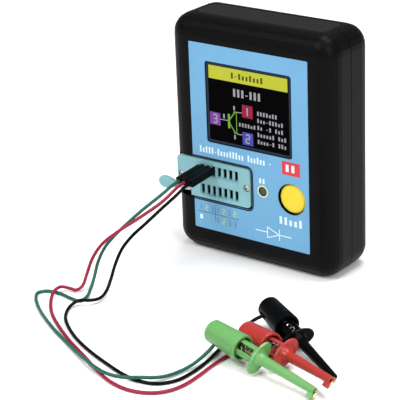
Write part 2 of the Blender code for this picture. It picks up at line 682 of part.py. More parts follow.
# ---------------------------------------------------------------- leads
def smooth_route(points, spacing):
    """Points at even spacing along a centripetal curve through the given points."""
    points = [Vector(point) for point in points]
    ends = [points[0] * 2 - points[1]] + points + [points[-1] * 2 - points[-2]]
    fine = []
    for k in range(1, len(ends) - 2):
        p0, p1, p2, p3 = ends[k - 1:k + 3]
        t0 = 0.0
        t1 = t0 + math.sqrt((p1 - p0).length)
        t2 = t1 + math.sqrt((p2 - p1).length)
        t3 = t2 + math.sqrt((p3 - p2).length)
        for step in range(16):
            t = t1 + (t2 - t1) * step / 16
            a1 = p0.lerp(p1, (t - t0) / (t1 - t0))
            a2 = p1.lerp(p2, (t - t1) / (t2 - t1))
            a3 = p2.lerp(p3, (t - t2) / (t3 - t2))
            b1 = a1.lerp(a2, (t - t0) / (t2 - t0))
            b2 = a2.lerp(a3, (t - t1) / (t3 - t1))
            fine.append(b1.lerp(b2, (t - t1) / (t2 - t1)))
    fine.append(points[-1])
    lengths = [0.0]
    for before, after in zip(fine, fine[1:]):
        lengths.append(lengths[-1] + (after - before).length)
    count = max(2, round(lengths[-1] / spacing))
    even = []
    position = 0
    for k in range(count + 1):
        wanted = lengths[-1] * k / count
        while position < len(fine) - 2 and lengths[position + 1] < wanted:
            position += 1
        stretch = lengths[position + 1] - lengths[position]
        even.append(fine[position].lerp(fine[position + 1], (wanted - lengths[position]) / stretch))
    return even


def cord_piece(name, points, radius, finish):
    """A round cord through points, as a bevelled curve with closed ends."""
    even = smooth_route(points, WIRE_SPACING)
    curve = bpy.data.curves.new(name, "CURVE")
    curve.dimensions = "3D"
    curve.bevel_depth = radius
    curve.bevel_resolution = 2
    curve.use_fill_caps = True
    spline = curve.splines.new("POLY")
    spline.points.add(len(even) - 1)
    for target, point in zip(spline.points, even):
        target.co = (*point, 1.0)
    curve.materials.append(finish)
    item = bpy.data.objects.new(name, curve)
    bpy.context.collection.objects.link(item)


def clip_frame(colour):
    """Local +X runs from the clip's rear to its hook, +Y is the side where the wire enters."""
    rear, tip, roll = CLIP_PLACES[colour]
    along = (Vector(tip) - Vector(rear)).normalized()
    across = along.cross(Vector((0, 0, 1))).normalized()
    upright = across.cross(along)
    side = across * math.cos(roll) + upright * math.sin(roll)
    return axis_frame(rear, along, side)


def plug_frame(k):
    """Local +X runs from the plug's front face back along the wire."""
    x = FIRST_SLOT_X - PIN_BEHIND_SLOT + k * SLOT_PITCH
    back = (0, -math.cos(PLUG_TILT), -math.sin(PLUG_TILT))
    return axis_frame((x, PLUG_FACE_Y, PLUG_Z), back, (1, 0, 0))


def make_plug(colour, k, plastic, gold):
    frame = plug_frame(k)
    half = (PLUG_WIDTH / 2, PLUG_HEIGHT / 2)
    shape = bmesh.new()
    add_box(shape, (0, -half[0], -half[1]), (PLUG_LENGTH, half[0], half[1]))
    bmesh.ops.bevel(shape, geom=shape.edges[:], offset=0.00015, segments=1, affect="EDGES", profile=0.5)
    housing = to_object("plug_housing_" + colour, shape, plastic, frame)
    hollows = bmesh.new()
    add_box(hollows, (-THROUGH, -0.0006, -0.0006), (0.0042, 0.0006, 0.0006))
    add_box(hollows, (0.0062, -0.0007, -half[1] - THROUGH), (0.0088, 0.0007, -0.0007))
    combine(housing, guide("plug_hollows_" + colour, hollows, frame))

    pin = bmesh.new()
    add_box(pin, (-0.0062, -PIN_WIDTH / 2, -PIN_WIDTH / 2), (0.0038, PIN_WIDTH / 2, PIN_WIDTH / 2))
    to_object("plug_pin_" + colour, pin, gold, frame)


def make_wire(colour, k, insulation):
    start = plug_frame(k)
    clip = clip_frame(colour)
    points = [start @ Vector((PLUG_LENGTH + GAP, 0, 0)), start @ Vector((PLUG_LENGTH + 0.003, 0, 0))]
    points += [Vector(point) / 1000 for point in WIRE_ROUTES[colour]]
    points += [clip @ Vector((CLIP_WIRE_AT, 0.0048, 0)), clip @ Vector((CLIP_WIRE_AT, 0.0, 0))]
    cord_piece("wire_" + colour, points, WIRE_RADIUS, insulation)


def make_clip_cap(colour, plastic):
    """The thumb cap: a cup that is open towards the flange, with a slot for the wire."""
    profile = (
        (0.0, 0.0), (0.0, 0.0026), (0.00035, 0.0034), (0.0010, CLIP_REAR_RADIUS),
        (CLIP_CAP_LENGTH - 0.0003, CLIP_RIM_RADIUS), (CLIP_CAP_LENGTH, CLIP_RIM_RADIUS - 0.0002),
        (CLIP_CAP_LENGTH, CLIP_RIM_RADIUS - 0.0008), (0.0014, 0.0033), (0.0014, 0.0),
    )
    frame = clip_frame(colour)
    cap = to_object("clip_cap_" + colour, turned(profile, 24), plastic, frame)
    slot = bmesh.new()
    rings = []
    for level in (0.0016, 0.0080):
        flat = outline(0.0020, 0.00095, 0.00094, level, (CLIP_WIRE_AT, 0.0), 3)
        rings.append(flat)
    add_loft(slot, rings)
    combine(cap, guide("cap_slot_" + colour, slot, frame))


def make_clip_hook(colour, brass):
    """The sprung rod: a solder lug, a collar for the spring, and a hook past the nozzle."""
    route = (
        (5.6, 0.0, 1.1), (8.0, 0.0, 1.1), (8.02, 0.0, 0.45), (9.0, 0.0, 0.45), (9.02, 0.0, 1.9),
        (9.6, 0.0, 1.9), (9.62, 0.0, 0.45), (30.0, 0.0, 0.45), (46.0, 0.0, 0.4), (47.3, 0.0, 0.3),
        (47.75, 0.1, 0.3), (47.98, 0.4, 0.3), (48.0, 1.0, 0.3), (47.98, 1.7, 0.26),
    )
    points = [Vector((along, side, 0)) / 1000 for along, side, _ in route]
    radii = [radius / 1000 for _, _, radius in route]
    to_object("clip_hook_" + colour, swept(points, radii, 10), brass, clip_frame(colour))


def make_clip_spring(colour, steel):
    """The coil between the rod's collar and the barrel's inner shoulder."""
    turns = 6
    steps = 8
    start, end = 0.0100, 0.0220
    coil_radius, wire_radius = 0.00145, 0.00022
    points = []
    for k in range(turns * steps + 1):
        angle = 2 * math.pi * k / steps
        along = start + (end - start) * k / (turns * steps)
        points.append((along, coil_radius * math.cos(angle), coil_radius * math.sin(angle)))
    spring = swept(points, [wire_radius] * len(points), 5)
    to_object("clip_spring_" + colour, spring, steel, clip_frame(colour))


def make_clip_barrel(colour, plastic):
    """The sliding barrel: windowed stem, oval finger flange, and nozzle with a lip."""
    frame = clip_frame(colour)
    profile = (
        (CLIP_STEM_START, CLIP_STEM_RADIUS), (CLIP_FLANGE[1], CLIP_STEM_RADIUS),
        (0.0236, 0.0023), (0.0250, 0.0018), (CLIP_NOZZLE_END, 0.00122), (CLIP_NOZZLE_END, 0.0006),
        (0.0226, 0.0006), (0.0226, 0.0022), (CLIP_STEM_START, 0.0022),
    )
    barrel = to_object("clip_barrel_" + colour, turned(profile, 20, hollow=True), plastic, frame)

    rings = []
    steps = 28
    edge = 0.0003
    for along, inset in ((CLIP_FLANGE[0], edge), (CLIP_FLANGE[0] + edge, 0.0), (CLIP_FLANGE[1], 0.0002)):
        ring = []
        for k in range(steps):
            angle = 2 * math.pi * (k + 0.5) / steps
            y = (CLIP_FLANGE_HALF[0] - inset) * math.cos(angle)
            z = (CLIP_FLANGE_HALF[1] - inset) * math.sin(angle)
            ring.append((along, y, z))
        rings.append(ring)
    for along in (CLIP_FLANGE[1], CLIP_FLANGE[0]):
        ring = []
        for k in range(steps):
            angle = 2 * math.pi * (k + 0.5) / steps
            ring.append((along, 0.0026 * math.cos(angle), 0.0026 * math.sin(angle)))
        rings.append(ring)
    flange = guide("barrel_flange_" + colour, loft(rings, closed=True), frame)
    combine(barrel, flange, "UNION")

    lip = bmesh.new()
    add_box(lip, (0.0456, 0.0008, -0.0007), (CLIP_NOZZLE_END + 0.0003, 0.0028, 0.0007))
    combine(barrel, guide("barrel_lip_" + colour, lip, frame), "UNION")

    windows = bmesh.new()
    near, far, half = 0.0014, 0.0050, 0.0012
    start, end = 0.0140, 0.0214
    add_box(windows, (start, near, -half), (end, far, half))
    add_box(windows, (start, -far, -half), (end, -near, half))
    add_box(windows, (start, -half, near), (end, half, far))
    add_box(windows, (start, -half, -far), (end, half, -near))
    combine(barrel, guide("barrel_windows_" + colour, windows, frame))


# ---------------------------------------------------------------- whole object
def main():
    clear_scene()
    black_plastic = material("black_plastic", (0.018, 0.018, 0.021), 0.45)
    grey_plastic = material("grey_plastic", (0.06, 0.06, 0.063), 0.6)
    blue_film = material("blue_film", (0.20, 0.46, 0.76), 0.35)
    display_glass = material("display_glass", (0.02, 0.02, 0.03), 0.08)
    screen_metal = material("screen_metal", (0.55, 0.55, 0.56), 0.35, 0.9)
    laminate = material("green_laminate", (0.02, 0.16, 0.07), 0.4)
    steel = material("steel", (0.62, 0.62, 0.60), 0.3, 1.0)
    epoxy = material("black_epoxy", (0.02, 0.02, 0.02), 0.5)
    ferrite = material("ferrite", (0.07, 0.07, 0.075), 0.6)
    tinned_can = material("tinned_can", (0.70, 0.70, 0.69), 0.25, 1.0)
    pouch = material("battery_pouch", (0.60, 0.62, 0.64), 0.35, 0.7)
    nylon = material("white_nylon", (0.85, 0.84, 0.80), 0.5)
    yellow_plastic = material("yellow_plastic", (0.88, 0.76, 0.08), 0.4)
    infrared_filter = material("infrared_filter", (0.06, 0.08, 0.05), 0.15)
    teal_plastic = material("teal_plastic", (0.27, 0.56, 0.60), 0.4)
    gold = material("gold_plate", (0.86, 0.66, 0.28), 0.25, 1.0)
    brass = material("brass", (0.75, 0.52, 0.22), 0.3, 1.0)
    lead_finishes = {
        "green": material("green_insulation", (0.03, 0.17, 0.12), 0.45),
        "red": material("red_insulation", (0.45, 0.02, 0.06), 0.45),
        "black": material("black_insulation", (0.015, 0.015, 0.015), 0.4),
    }
    clip_finishes = {
        "green": material("green_clip_plastic", (0.20, 0.62, 0.18), 0.35),
        "red": material("red_clip_plastic", (0.62, 0.05, 0.03), 0.35),
        "black": material("black_clip_plastic", (0.012, 0.012, 0.014), 0.35),
    }

    make_front_shell(black_plastic)
    make_rear_shell(black_plastic)
    make_top_panel(grey_plastic)
    make_label(blue_film)
    make_case_screws(steel)
    make_display(display_glass, screen_metal)
    make_board(laminate, steel)
    make_board_parts(epoxy, ferrite, tinned_can, steel)
    make_battery(pouch, nylon, lead_finishes["red"])
    make_start_button(yellow_plastic, epoxy, nylon)
    make_ir_receiver(infrared_filter, epoxy)
    make_socket_cover(teal_plastic)
    make_socket_base(teal_plastic)
    make_socket_screws(steel)
    make_lever(steel, teal_plastic)
    for k, colour in enumerate(LEAD_COLOURS):
        make_plug(colour, k, black_plastic, gold)
        make_wire(colour, k, lead_finishes[colour])
        make_clip_cap(colour, clip_finishes[colour])
        make_clip_hook(colour, brass)
        make_clip_spring(colour, steel)
        make_clip_barrel(colour, clip_finishes[colour])


main()
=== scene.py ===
"""The looks of the component tester: wires, materials, printed faces, lights and camera.

Metres, +Z up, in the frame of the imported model: the face looks along -Y.
"""
import json
import math

import bmesh
import bpy
from mathutils import Matrix, Vector


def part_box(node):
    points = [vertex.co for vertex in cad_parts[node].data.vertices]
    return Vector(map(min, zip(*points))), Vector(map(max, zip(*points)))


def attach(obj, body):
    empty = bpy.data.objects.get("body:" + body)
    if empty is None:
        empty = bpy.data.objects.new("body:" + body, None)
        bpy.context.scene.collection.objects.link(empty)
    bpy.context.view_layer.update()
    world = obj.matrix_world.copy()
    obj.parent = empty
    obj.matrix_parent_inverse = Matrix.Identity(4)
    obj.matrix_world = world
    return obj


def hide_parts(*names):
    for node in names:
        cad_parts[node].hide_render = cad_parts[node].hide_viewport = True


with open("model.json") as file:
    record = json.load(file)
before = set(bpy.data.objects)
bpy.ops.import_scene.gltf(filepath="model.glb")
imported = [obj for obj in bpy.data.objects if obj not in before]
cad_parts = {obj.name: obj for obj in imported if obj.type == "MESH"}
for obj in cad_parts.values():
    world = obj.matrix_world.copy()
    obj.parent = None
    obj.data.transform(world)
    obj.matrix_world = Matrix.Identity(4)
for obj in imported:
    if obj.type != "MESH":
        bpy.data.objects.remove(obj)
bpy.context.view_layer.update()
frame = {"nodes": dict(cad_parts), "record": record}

# ---------------------------------------------------------------- camera and light
CAMERA_PLACE = (0.33418, -0.47310, 0.25225)
CAMERA_AZIMUTH = math.radians(37.836)
CAMERA_ELEVATION = math.radians(21.7145)
CAMERA_ROLL = math.radians(-2.2892)
CAMERA_LENS = 153.05
CAMERA_SENSOR = 36.0
BACKDROP_STRENGTH = 0.34
LIGHT_TARGET = (0.0, -0.03, 0.04)
# place, width and height, and power of each soft light
LIGHTS = {
    "key": ((-0.25, -0.75, 0.85), (0.5, 0.5), 7.2),
    "side": ((0.75, -0.35, 0.55), (0.35, 0.6), 4.2),
    "top": ((0.1, 0.15, 0.95), (0.6, 0.4), 7.0),
}

# ---------------------------------------------------------------- wires
WIRE_DIAMETER = 0.0012
WIRE_SPACING = 0.0015
STEPS_PER_SPAN = 16
# each wire's route between its plug and its clip, in millimetres
WIRE_ROUTES = {
    "green": (
        (-22.2, -37.4, 30.3), (-25.6, -44.8, 26.0), (-30.3, -51.6, 19.8), (-34.8, -54.2, 13.8),
        (-36.9, -56.1, 8.2), (-35.5, -60.2, 4.2), (-33.7, -64.4, 2.0), (-31.7, -69.2, 0.9),
        (-32.0, -72.6, 0.65), (-36.2, -72.6, 0.65), (-42.5, -71.6, 0.65), (-47.5, -72.6, 0.65),
        (-49.2, -75.2, 0.65), (-46.8, -79.0, 0.65), (-38.5, -86.0, 0.65), (-25.5, -94.0, 0.65),
        (-14.7, -99.6, 0.65), (-2.3, -105.9, 1.3), (6.5, -110.0, 2.05), (12.3, -111.4, 2.0),
        (18.2, -110.9, 2.0), (23.8, -108.0, 2.15), (28.4, -102.4, 1.2), (30.7, -95.0, 1.0),
        (31.7, -89.4, 1.6), (32.4, -84.9, 2.9),
    ),
    "red": (
        (-20.2, -38.9, 28.9), (-24.3, -46.5, 24.8), (-29.3, -53.1, 20.6), (-34.0, -56.6, 16.0),
        (-37.1, -58.8, 10.5), (-38.0, -61.4, 5.0), (-37.5, -64.6, 1.9), (-38.5, -66.7, 0.9),
        (-41.0, -67.3, 1.2), (-43.6, -69.0, 1.9), (-43.2, -73.2, 1.95), (-40.2, -78.4, 1.1),
        (-33.7, -85.3, 0.65), (-24.5, -92.0, 0.65), (-14.0, -98.4, 0.65), (-2.0, -104.6, 0.65),
        (8.8, -110.4, 0.65), (17.8, -113.8, 0.65), (25.4, -114.2, 0.65), (31.6, -111.9, 0.65),
        (35.3, -107.6, 0.65), (36.9, -102.0, 0.65), (37.0, -95.1, 0.65), (36.4, -86.4, 0.65),
        (36.4, -79.8, 0.65), (37.4, -74.6, 0.85),
    ),
    "black": (
        (-16.2, -36.2, 31.0), (-19.0, -41.0, 27.2), (-22.8, -44.8, 22.5), (-26.6, -48.4, 18.0),
        (-29.3, -51.2, 13.5), (-30.2, -54.4, 8.5), (-29.2, -58.4, 4.5), (-27.4, -63.4, 2.0),
        (-26.2, -68.6, 1.5), (-27.4, -72.4, 1.95), (-30.6, -74.6, 1.95), (-31.5, -78.0, 1.0),
        (-28.2, -84.4, 0.65), (-21.4, -90.6, 0.65), (-12.6, -96.2, 0.65), (-2.2, -101.0, 0.65),
        (7.8, -104.6, 0.65), (15.6, -107.0, 0.65), (22.2, -107.9, 0.65), (28.8, -106.4, 0.65),
        (32.9, -101.2, 0.65), (33.9, -93.6, 0.65), (33.3, -85.1, 0.65), (31.9, -77.5, 0.8),
        (31.2, -70.8, 1.2), (31.6, -65.0, 2.4), (33.0, -60.3, 4.4),
    ),
}
# where each plug's front face is, in x and in (y, z), its length, and how far it droops
PLUG_X = {"green": -0.02145, "red": -0.01891, "black": -0.01637}
PLUG_FACE = (-0.0142, 0.03365)
PLUG_LENGTH = 0.0131
PLUG_TILT = math.radians(4)
# rear end, hooked end and roll of each clip, as it lies
CLIP_PLACES = {
    "green": ((0.0296, -0.0778, 0.0080), (0.0764, -0.0867, 0.0026), math.radians(-43)),
    "red": ((0.0353, -0.0667, 0.0042), (0.0803, -0.0833, 0.0060), math.radians(-38)),
    "black": ((0.0332, -0.0510, 0.0068), (0.0752, -0.0741, 0.0013), math.radians(-8)),
}
CLIP_WIRE_AT = 0.0045

# ---------------------------------------------------------------- finishes
def tone(code):
    """A linear colour from a six-digit hexadecimal one."""
    parts = [int(code[k:k + 2], 16) / 255 for k in (0, 2, 4)]
    return tuple(p / 12.92 if p <= 0.04045 else ((p + 0.055) / 1.055) ** 2.4 for p in parts)


def add_node(tree, kind, **values):
    node = tree.nodes.new(kind)
    for name, value in values.items():
        node.inputs[name].default_value = value
    return node


def finish(name, colour, roughness, metallic=0.0, grain=0.0003, relief=0.2, drift=0.08, stretch=(1, 1, 1),
           specular=0.5, coat=0.0):
    """A procedural finish: fine grain in relief, and a slow drift of colour and roughness."""
    made = bpy.data.materials.new(name)
    made.use_nodes = True
    tree = made.node_tree
    link = tree.links.new
    shader = tree.nodes["Principled BSDF"]
    shader.inputs["Metallic"].default_value = metallic
    shader.inputs["Specular IOR Level"].default_value = specular
    shader.inputs["Coat Weight"].default_value = coat
    shader.inputs["Coat Roughness"].default_value = 0.12

    place = tree.nodes.new("ShaderNodeTexCoord")
    spread = add_node(tree, "ShaderNodeMapping", Scale=stretch)
    link(place.outputs["Object"], spread.inputs["Vector"])
    slow = add_node(tree, "ShaderNodeTexNoise", Scale=90.0, Detail=3.0)
    fine = add_node(tree, "ShaderNodeTexNoise", Scale=1 / grain, Detail=4.0, Roughness=0.6)
    for texture in (slow, fine):
        link(spread.outputs["Vector"], texture.inputs["Vector"])

    shades = tree.nodes.new("ShaderNodeValToRGB")
    shades.color_ramp.elements[0].position = 0.3
    shades.color_ramp.elements[1].position = 0.7
    shades.color_ramp.elements[0].color = (*(c * (1 - drift) for c in colour), 1)
    shades.color_ramp.elements[1].color = (*(min(1, c * (1 + drift)) for c in colour), 1)
    link(slow.outputs["Fac"], shades.inputs["Fac"])
    link(shades.outputs["Color"], shader.inputs["Base Color"])

    polish = add_node(tree, "ShaderNodeMapRange", **{
        "From Min": 0.3, "From Max": 0.7,
        "To Min": roughness * 0.88, "To Max": min(1.0, roughness * 1.12),
    })
    link(fine.outputs["Fac"], polish.inputs["Value"])
    link(polish.outputs["Result"], shader.inputs["Roughness"])

    bump = add_node(tree, "ShaderNodeBump", Strength=relief, Distance=grain * 0.3)
    link(fine.outputs["Fac"], bump.inputs["Height"])
    link(bump.outputs["Normal"], shader.inputs["Normal"])
    return made


def glowing(name, colour, strength=0.8):
    """A lit part of the display's picture, with the fine mesh of its pixels."""
    made = finish(name, tuple(c * 0.2 for c in colour), 0.15, grain=0.00025, relief=0.02, specular=0.08)
    tree = made.node_tree
    shader = tree.nodes["Principled BSDF"]
    place = tree.nodes.new("ShaderNodeTexCoord")
    mesh = add_node(tree, "ShaderNodeTexBrick", Scale=3600.0, **{
        "Color1": (*colour, 1), "Color2": (*(c * 0.9 for c in colour), 1),
        "Mortar": (*(c * 0.6 for c in colour), 1), "Mortar Size": 0.04,
    })
    turn = add_node(tree, "ShaderNodeMapping", Rotation=(math.pi / 2, 0, 0))
    tree.links.new(place.outputs["Object"], turn.inputs["Vector"])
    tree.links.new(turn.outputs["Vector"], mesh.inputs["Vector"])
    tree.links.new(mesh.outputs["Color"], shader.inputs["Emission Color"])
    shader.inputs["Emission Strength"].default_value = strength
    return made


FINISHES = {
    "black_plastic": finish(
        "black_plastic", (0.0022, 0.0022, 0.0028), 0.40, grain=0.00032, relief=0.5, specular=0.06),
    "grey_plastic": finish(
        "grey_plastic", (0.008, 0.008, 0.0082), 0.55, grain=0.00025, relief=0.5, specular=0.13),
    "blue_film": finish(
        "blue_film", (0.138, 0.353, 0.566), 0.45, grain=0.0005, relief=0.04, drift=0.03, specular=0.3),
    "display_glass": finish(
        "display_glass", (0.0007, 0.0007, 0.0009), 0.10, grain=0.002, relief=0.02, specular=0.01),
    "screen_metal": finish("screen_metal", (0.55, 0.55, 0.56), 0.35, 0.9, stretch=(1, 1, 12)),
    "green_laminate": finish(
        "green_laminate", (0.015, 0.13, 0.05), 0.35, grain=0.0006, relief=0.15, coat=0.4),
    "steel": finish("steel", (0.60, 0.58, 0.53), 0.28, 1.0, grain=0.0002, relief=0.12, stretch=(1, 1, 6)),
    "black_epoxy": finish("black_epoxy", (0.012, 0.012, 0.013), 0.55, grain=0.0002, relief=0.5),
    "ferrite": finish("ferrite", (0.05, 0.05, 0.055), 0.65, grain=0.0003, relief=0.8, drift=0.2),
    "tinned_can": finish("tinned_can", (0.70, 0.70, 0.69), 0.22, 1.0, stretch=(1, 8, 1)),
    "battery_pouch": finish("battery_pouch", (0.58, 0.60, 0.62), 0.35, 0.7, grain=0.003, relief=0.5),
    "white_nylon": finish("white_nylon", (0.78, 0.76, 0.71), 0.5),
    "yellow_plastic": finish(
        "yellow_plastic", (0.78, 0.60, 0.030), 0.42, grain=0.0004, relief=0.08, drift=0.03, specular=0.35),
    "infrared_filter": finish(
        "infrared_filter", tone("3C4638"), 0.15, grain=0.001, relief=0.03, coat=0.3),
    "teal_plastic": finish(
        "teal_plastic", (0.200, 0.418, 0.450), 0.48, grain=0.0003, relief=0.18, drift=0.05, specular=0.3),
    "gold_plate": finish("gold_plate", (0.86, 0.66, 0.28), 0.22, 1.0, grain=0.0002, relief=0.08),
    "brass": finish("brass", (0.72, 0.50, 0.22), 0.28, 1.0, grain=0.0002, relief=0.15, drift=0.15),
    "green_insulation": finish(
        "green_insulation", tone("1C5A4C"), 0.38, grain=0.0004, relief=0.1, specular=0.25),
    "red_insulation": finish(
        "red_insulation", tone("8E1A38"), 0.38, grain=0.0004, relief=0.1, specular=0.25),
    "black_insulation": finish(
        "black_insulation", (0.0022, 0.0022, 0.0026), 0.35, grain=0.0004, relief=0.1, specular=0.08),
    "green_clip_plastic": finish(
        "green_clip_plastic", (0.118, 0.333, 0.093), 0.36, grain=0.0006, relief=0.1, drift=0.05),
    "red_clip_plastic": finish(
        "red_clip_plastic", (0.383, 0.023, 0.016), 0.36, grain=0.0006, relief=0.1, drift=0.05),
    "black_clip_plastic": finish(
        "black_clip_plastic", (0.0013, 0.0013, 0.0016), 0.32, grain=0.0006, relief=0.1, specular=0.05),
}


def dress_cad_nodes():
    for entry in frame["record"]["subparts"]:
        data = frame["nodes"][entry["node"]].data
        data.materials.clear()
        data.materials.append(FINISHES[entry["material_slot"]])


# ---------------------------------------------------------------- shapes
INK_DEPTH = 0.00003
SHARP_ANGLE = math.radians(40)


def add_piece(name, shape, look, body):
    """Turn a bmesh into a piece that rides on a CAD body."""
    bmesh.ops.recalc_face_normals(shape, faces=shape.faces)
    mesh = bpy.data.meshes.new(name)
    shape.to_mesh(mesh)
    shape.free()
    mesh.shade_smooth()
    mesh.set_sharp_from_angle(angle=SHARP_ANGLE)
    mesh.materials.append(look)
    piece = bpy.data.objects.new(name, mesh)
    bpy.context.collection.objects.link(piece)
    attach(piece, body)


def add_prism(shape, outline, y_front, y_back):
    """A flat shape, from its (x, z) outline, between two values of y."""
    front = [shape.verts.new((x, y_front, z)) for x, z in outline]
    back = [shape.verts.new((x, y_back, z)) for x, z in outline]
    shape.faces.new(front)
    shape.faces.new(back[::-1])
    for k in range(len(outline)):
        n = (k + 1) % len(outline)
        shape.faces.new((front[k], back[k], back[n], front[n]))


def rectangle(x0, z0, x1, z1):
    return ((x0, z0), (x1, z0), (x1, z1), (x0, z1))


def bar(start, end, width):
    """The outline of a straight stroke between two (x, z) points."""
    run = Vector(end) - Vector(start)
    side = Vector((-run.y, run.x)).normalized() * width / 2
    corners = (Vector(start) + side, Vector(start) - side, Vector(end) - side, Vector(end) + side)
    return [tuple(corner) for corner in corners]


def ring_outlines(centre, inner, outer):
    """Outlines of the short pieces that together make a flat ring."""
    pieces = []
    steps = 40
    for k in range(steps):
        a, b = (2 * math.pi * n / steps for n in (k, k + 1))
        pieces.append([
            (centre[0] + r * math.cos(t), centre[1] + r * math.sin(t))
            for r, t in ((inner, a), (outer, a), (outer, b), (inner, b))
        ])
    return pieces


def lay_ink_and_painted_shade(name, outlines, surface_y, look):
    """A thin layer, in millimetre outlines, on a face that looks along -Y: ink, and also the painted shade
    round the socket's opening.
    """
    shape = bmesh.new()
    for outline in outlines:
        corners = [(x / 1000, z / 1000) for x, z in outline]
        add_prism(shape, corners, surface_y - INK_DEPTH, surface_y + INK_DEPTH)
    add_piece(name, shape, look, "case")


def letter_blocks(x, z, pitch, height, rhythm):
    """Blocks in place of lettering: | is a tall block, o a low one, - a dash, and a space a gap."""
    outlines = []
    for k, kind in enumerate(rhythm):
        left = x + k * pitch
        right = left + pitch * 0.52
        if kind == "|":
            outlines.append(rectangle(left, z, right, z + height))
        elif kind == "o":
            outlines.append(rectangle(left, z, right, z + height * 0.72))
        elif kind == "-":
            outlines.append(rectangle(left, z + height * 0.32, right, z + height * 0.46))
    return outlines


# strokes of the digits on a cell that is one wide and two high
DIGIT_STROKES = {
    "1": (((0.5, 0.0), (0.5, 2.0)),),
    "2": (((0, 2), (1, 2)), ((1, 2), (1, 1)), ((1, 1), (0, 1)), ((0, 1), (0, 0)), ((0, 0), (1, 0))),
    "3": (((0, 2), (1, 2)), ((1, 2), (1, 0)), ((0.2, 1), (1, 1)), ((0, 0), (1, 0))),
}


def digit_outlines(digit, x, z, height, width):
    """A digit's strokes, centred on x, with its foot at z."""
    unit = height / 2
    outlines = []
    for start, end in DIGIT_STROKES[digit]:
        ends = [(x + (u - 0.5) * unit, z + v * unit) for u, v in (start, end)]
        outlines.append(bar(*ends, width))
    return outlines


# ---------------------------------------------------------------- leads
def smooth_route(points, spacing):
    """Points at even spacing along a centripetal curve through the given points."""
    ends = [points[0] * 2 - points[1]] + points + [points[-1] * 2 - points[-2]]
    fine = []
    for k in range(1, len(ends) - 2):
        p0, p1, p2, p3 = ends[k - 1:k + 3]
        t0 = 0.0
        t1 = t0 + math.sqrt((p1 - p0).length)
        t2 = t1 + math.sqrt((p2 - p1).length)
        t3 = t2 + math.sqrt((p3 - p2).length)
        for step in range(STEPS_PER_SPAN):
            t = t1 + (t2 - t1) * step / STEPS_PER_SPAN
            a1 = p0.lerp(p1, (t - t0) / (t1 - t0))
            a2 = p1.lerp(p2, (t - t1) / (t2 - t1))
            a3 = p2.lerp(p3, (t - t2) / (t3 - t2))
            b1 = a1.lerp(a2, (t - t0) / (t2 - t0))
            b2 = a2.lerp(a3, (t - t1) / (t3 - t1))
            fine.append(b1.lerp(b2, (t - t1) / (t2 - t1)))
    fine.append(points[-1])
    lengths = [0.0]
    for before, after in zip(fine, fine[1:]):
        lengths.append(lengths[-1] + (after - before).length)
    count = max(2, round(lengths[-1] / spacing))
    even = []
    position = 0
    for k in range(count + 1):
        wanted = lengths[-1] * k / count
        while position < len(fine) - 2 and lengths[position + 1] < wanted:
            position += 1
        stretch = lengths[position + 1] - lengths[position]
        even.append(fine[position].lerp(fine[position + 1], (wanted - lengths[position]) / stretch))
    return even


def axis_frame(origin, along, side):
    """A frame whose +X runs along an axis and whose +Y is the side direction."""
    x = Vector(along).normalized()
    y = Vector(side)
    y = (y - x * y.dot(x)).normalized()
    made = Matrix((x, y, x.cross(y))).transposed().to_4x4()
    made.translation = origin
    return made


def clip_frame(colour):
    """Local +X runs from the clip's rear to its hook, +Y is the side where the wire enters."""
    rear, tip, roll = CLIP_PLACES[colour]
    along = (Vector(tip) - Vector(rear)).normalized()
    across = along.cross(Vector((0, 0, 1))).normalized()
    upright = across.cross(along)
    return axis_frame(rear, along, across * math.cos(roll) + upright * math.sin(roll))


def plug_frame(colour):
    """Local +X runs from the plug's front face back along the wire."""
    back = (0, -math.cos(PLUG_TILT), -math.sin(PLUG_TILT))
    return axis_frame((PLUG_X[colour], *PLUG_FACE), back, (1, 0, 0))


def make_wire(colour):
    plug = plug_frame(colour)
    clip = clip_frame(colour)
    start = plug @ Vector((PLUG_LENGTH - WIRE_DIAMETER / 2, 0, 0))
    points = [start, plug @ Vector((PLUG_LENGTH + 0.003, 0, 0))]
    points += [Vector(point) / 1000 for point in WIRE_ROUTES[colour]]
    points += [clip @ Vector((CLIP_WIRE_AT, 0.0048, 0)), clip @ Vector((CLIP_WIRE_AT, 0.0, 0))]
    even = smooth_route(points, WIRE_SPACING)
    curve = bpy.data.curves.new("lead_" + colour, "CURVE")
    curve.dimensions = "3D"
    curve.bevel_depth = WIRE_DIAMETER / 2
    curve.bevel_resolution = 4
    curve.use_fill_caps = True
    spline = curve.splines.new("POLY")
    spline.points.add(len(even) - 1)
    for target, point in zip(spline.points, even):
        target.co = (*point, 1.0)
    curve.materials.append(FINISHES[colour + "_insulation"])
    wire = bpy.data.objects.new("lead_" + colour, curve)
    bpy.context.collection.objects.link(wire)
    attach(wire, "case")
    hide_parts("wire_" + colour)
